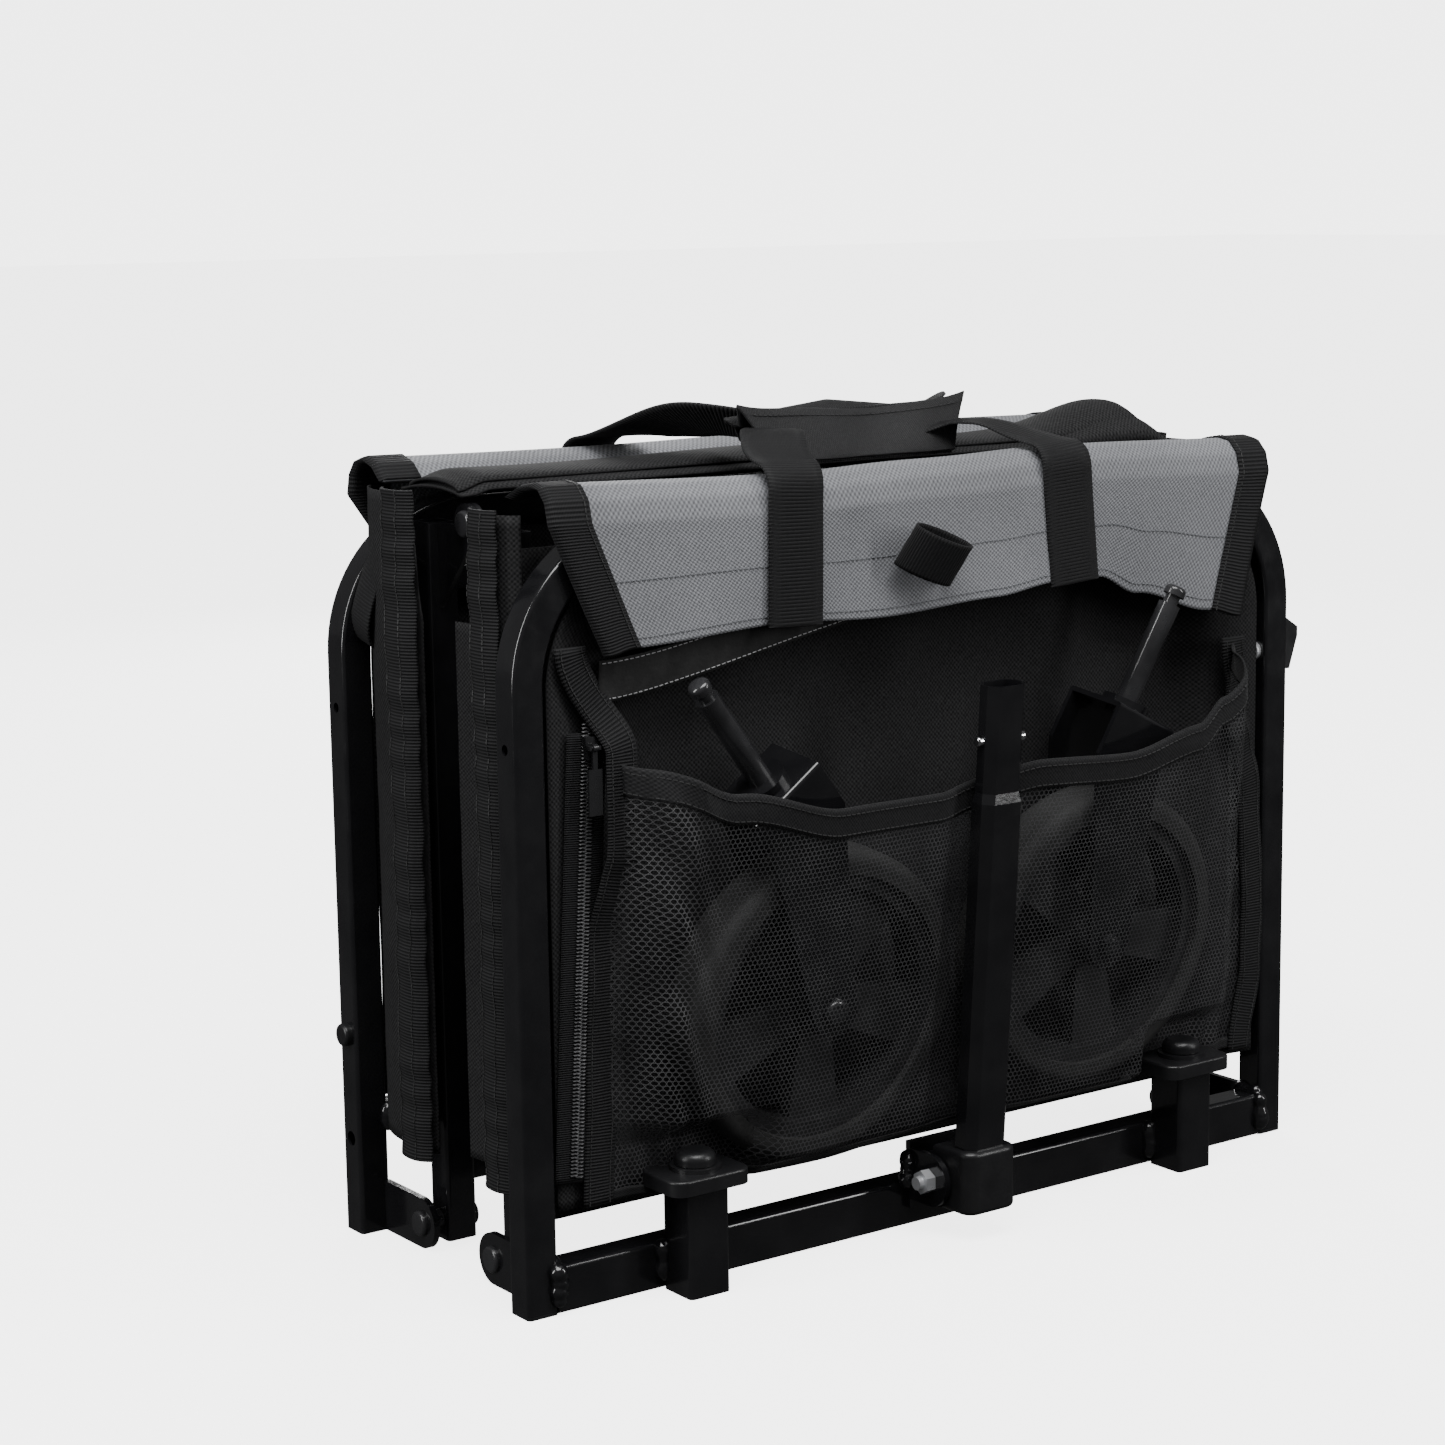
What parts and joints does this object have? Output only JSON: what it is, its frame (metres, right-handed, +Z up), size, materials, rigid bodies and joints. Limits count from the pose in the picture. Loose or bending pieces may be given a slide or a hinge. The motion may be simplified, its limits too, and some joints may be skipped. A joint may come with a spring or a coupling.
{
  "type": "folding pet stroller",
  "caption": "Folded pet stroller: two square-tube hoops with a floor hinged up between them, cloth tub, stowed casters in a mesh pocket and a pull pole.",
  "frame": {"origin": "on the ground at the centre of the folded stroller", "axes": "+Z up, +X to the right seen from the front, -Y towards the front with the pull pole and the wheel pocket"},
  "size_m": [0.609, 0.2863, 0.5],
  "materials": {
    "frame_black": "gloss powder coat on steel",
    "rivet_black": "black zinc plated steel",
    "zinc_steel": "bright zinc plate",
    "spring_steel": "polished",
    "moulded_black": "satin moulded nylon",
    "wheel_plastic": "moulded, lightly grained",
    "tyre_foam": "matte foamed rubber",
    "black_oxford": "coated oxford weave",
    "grey_oxford": "coated oxford weave",
    "webbing_black": "ribbed polypropylene webbing",
    "pocket_mesh": "open hexagonal mesh with a woven binding",
    "zip_black": "black coil zip with a lacquered slider"
  },
  "bodies": {
    "rear_frame": {"rear_hoop": "frame_black", "rear_crossbar": "frame_black", "rear_leg_caps": "moulded_black", "rear_hinge_plates": "frame_black", "rear_hinge_pins": "rivet_black", "rear_leg_plug": "moulded_black", "rear_panel": "black_oxford", "rear_flap": "grey_oxford", "rear_carry_strap": "webbing_black", "folded_canopy": "black_oxford", "side_loop": "webbing_black"},
    "rear_floor": {"rear_floor_frame": "frame_black", "rear_centre_plates": "frame_black", "centre_pins": "rivet_black", "rear_floor_mat": "black_oxford"},
    "front_floor": {"front_floor_frame": "frame_black", "front_centre_plates": "frame_black", "front_floor_mat": "black_oxford"},
    "front_frame": {"front_hoop": "frame_black", "front_crossbar": "frame_black", "front_leg_caps": "moulded_black", "front_hinge_plates": "frame_black", "front_hinge_pins": "rivet_black", "caster_sockets": "frame_black", "socket_bushes": "moulded_black", "latch_housings": "moulded_black", "pole_clevis": "frame_black", "clevis_bolt": "zinc_steel", "strap_hook": "moulded_black", "strap_hook_bolt": "rivet_black", "front_panel": "black_oxford", "wheel_pocket": "pocket_mesh", "front_flap": "grey_oxford", "hook_strip": "webbing_black", "front_carry_strap": "webbing_black", "strap_keeper": "webbing_black", "handle_wrap": "black_oxford", "zip_chain": "zip_black"},
    "rear_sides": {"rear_side_folds": "black_oxford"},
    "front_sides": {"front_side_folds": "black_oxford"},
    "latch_left": {"latch_knob_left": "moulded_black"},
    "latch_right": {"latch_knob_right": "moulded_black"},
    "zip_slider": {"zip_slider": "zip_black"},
    "zip_pull": {"zip_pull": "zip_black"},
    "pull_pole": {"pole_collar": "moulded_black", "pole_tube": "frame_black", "button_spring": "spring_steel"},
    "pole_button_left": {"pole_button_left": "spring_steel"},
    "pole_button_right": {"pole_button_right": "spring_steel"},
    "caster_left": {"fork_left": "frame_black", "stem_left": "rivet_black", "axle_left": "zinc_steel"},
    "wheel_left": {"tyre_left": "tyre_foam", "rim_left": "wheel_plastic"},
    "caster_right": {"fork_right": "frame_black", "stem_right": "rivet_black", "axle_right": "zinc_steel"},
    "wheel_right": {"tyre_right": "tyre_foam", "rim_right": "wheel_plastic"}
  },
  "joints": [
    {"name": "floor_fold", "type": "hinge", "parent": "rear_frame", "child": "rear_floor", "pos_m": [0, 0.073, 0.016], "axis": [1, 0, 0], "range_deg": [0, 90]},
    {"name": "floor_centre_hinge", "type": "hinge", "parent": "rear_floor", "child": "front_floor", "pos_m": [0, 0.032, 0.438], "axis": [1, 0, 0], "range_deg": [-180, 0]},
    {"name": "front_leg_hinge", "type": "hinge", "parent": "front_floor", "child": "front_frame", "pos_m": [0, -0.009, 0.016], "axis": [1, 0, 0], "range_deg": [0, 90]},
    {"name": "rear_side_spread", "type": "slide", "parent": "rear_frame", "child": "rear_sides", "axis": [0, -1, 0], "range_m": [0, 0.386]},
    {"name": "front_side_spread", "type": "slide", "parent": "front_frame", "child": "front_sides", "axis": [0, 1, 0], "range_m": [0, 0.386]},
    {"name": "pole_pivot", "type": "hinge", "parent": "front_frame", "child": "pull_pole", "pos_m": [0, -0.095, 0.034], "axis": [1, 0, 0], "range_deg": [0, 88]},
    {"name": "pole_button_left_press", "type": "slide", "parent": "pull_pole", "child": "pole_button_left", "axis": [1, 0, 0], "range_m": [0, 0.0036], "stiffness_N_per_m": 600, "springref_m": -0.003},
    {"name": "pole_button_right_press", "type": "slide", "parent": "pull_pole", "child": "pole_button_right", "axis": [-1, 0, 0], "range_m": [0, 0.0036], "stiffness_N_per_m": 600, "springref_m": -0.003},
    {"name": "latch_left_pull", "type": "slide", "parent": "front_frame", "child": "latch_left", "axis": [0, 0, 1], "range_m": [0, 0.004], "stiffness_N_per_m": 800, "springref_m": -0.003},
    {"name": "latch_right_pull", "type": "slide", "parent": "front_frame", "child": "latch_right", "axis": [0, 0, 1], "range_m": [0, 0.004], "stiffness_N_per_m": 800, "springref_m": -0.003},
    {"name": "zip_slide", "type": "slide", "parent": "front_frame", "child": "zip_slider", "axis": [-0.0564, 0, -0.9984], "range_m": [0, 0.235]},
    {"name": "zip_pull_swing", "type": "hinge", "parent": "zip_slider", "child": "zip_pull", "pos_m": [-0.248, -0.079, 0.322], "axis": [-1, 0, 0], "range_deg": [0, 80]},
    {"name": "caster_left_lift", "type": "slide", "parent": "front_frame", "child": "caster_left", "axis": [0, -0.1219, 0.9925], "range_m": [0, 0.16]},
    {"name": "caster_right_lift", "type": "slide", "parent": "front_frame", "child": "caster_right", "axis": [0, -0.1219, 0.9925], "range_m": [0, 0.16]},
    {"name": "wheel_left_spin", "type": "hinge", "parent": "caster_left", "child": "wheel_left", "pos_m": [-0.099, -0.078, 0.155], "axis": [0, 0.9925, 0.1219], "continuous": true},
    {"name": "wheel_right_spin", "type": "hinge", "parent": "caster_right", "child": "wheel_right", "pos_m": [0.115, -0.078, 0.163], "axis": [0, 0.9925, 0.1219], "continuous": true}
  ],
  "couplings": [
    {"joint": "floor_centre_hinge", "follows": "floor_fold", "ratio": -2},
    {"joint": "front_leg_hinge", "follows": "floor_fold", "ratio": 1},
    {"joint": "rear_side_spread", "follows": "floor_fold", "m_per_rad": 0.2457},
    {"joint": "front_side_spread", "follows": "floor_fold", "m_per_rad": 0.2457}
  ]
}
